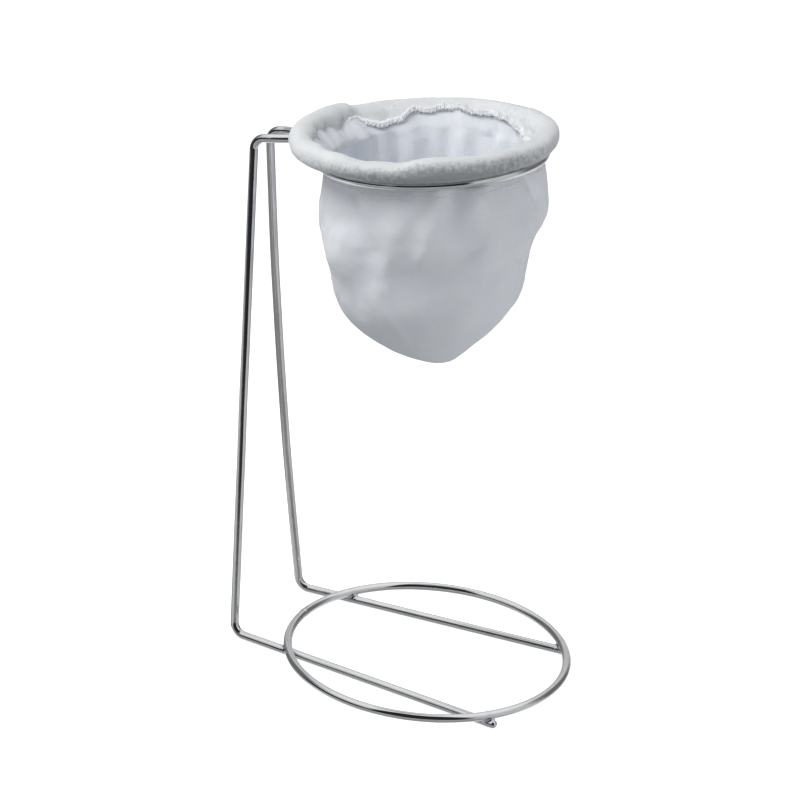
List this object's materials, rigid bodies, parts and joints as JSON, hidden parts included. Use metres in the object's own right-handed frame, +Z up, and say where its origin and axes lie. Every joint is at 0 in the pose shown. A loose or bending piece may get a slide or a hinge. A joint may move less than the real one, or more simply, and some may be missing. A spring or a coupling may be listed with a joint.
{
  "type": "coffee filter stand",
  "caption": "Chromed wire stand with a round base ring, converging uprights and a tilted upper ring that holds a lift-out cloth coffee filter over one cup.",
  "frame": {"origin": "on the table, under the middle of the whole object's box", "axes": "+Z up; +X from the uprights towards the leg tips; +Y to the side"},
  "size_m": [0.147, 0.1154, 0.2263],
  "materials": {
    "wire": "bright chromium plate on drawn steel wire",
    "weld": "chromium plate over a weld bead",
    "hoop_wire": "galvanised drawn wire",
    "cotton": "soft white cotton flannel",
    "rim_cotton": "soft white cotton flannel, rolled",
    "thread": "white cotton thread"
  },
  "bodies": {
    "stand": {"frame_wire": "wire", "base_ring": "wire", "base_ring_joint": "wire", "base_welds": "weld", "upper_ring": "wire", "upper_ring_joint": "wire", "nose_weld": "weld"},
    "filter": {"filter_bag": "cotton", "filter_hem": "rim_cotton", "filter_hoop": "hoop_wire", "filter_hoop_joint": "hoop_wire", "hem_stitching": "thread", "hem_overlock": "thread", "side_seam": "cotton", "seam_overlock": "thread"}
  },
  "joints": [
    {"name": "filter_lift", "type": "slide", "parent": "stand", "child": "filter", "axis": [-0.1305, 0, 0.9914], "range_m": [0, 0.11]}
  ]
}
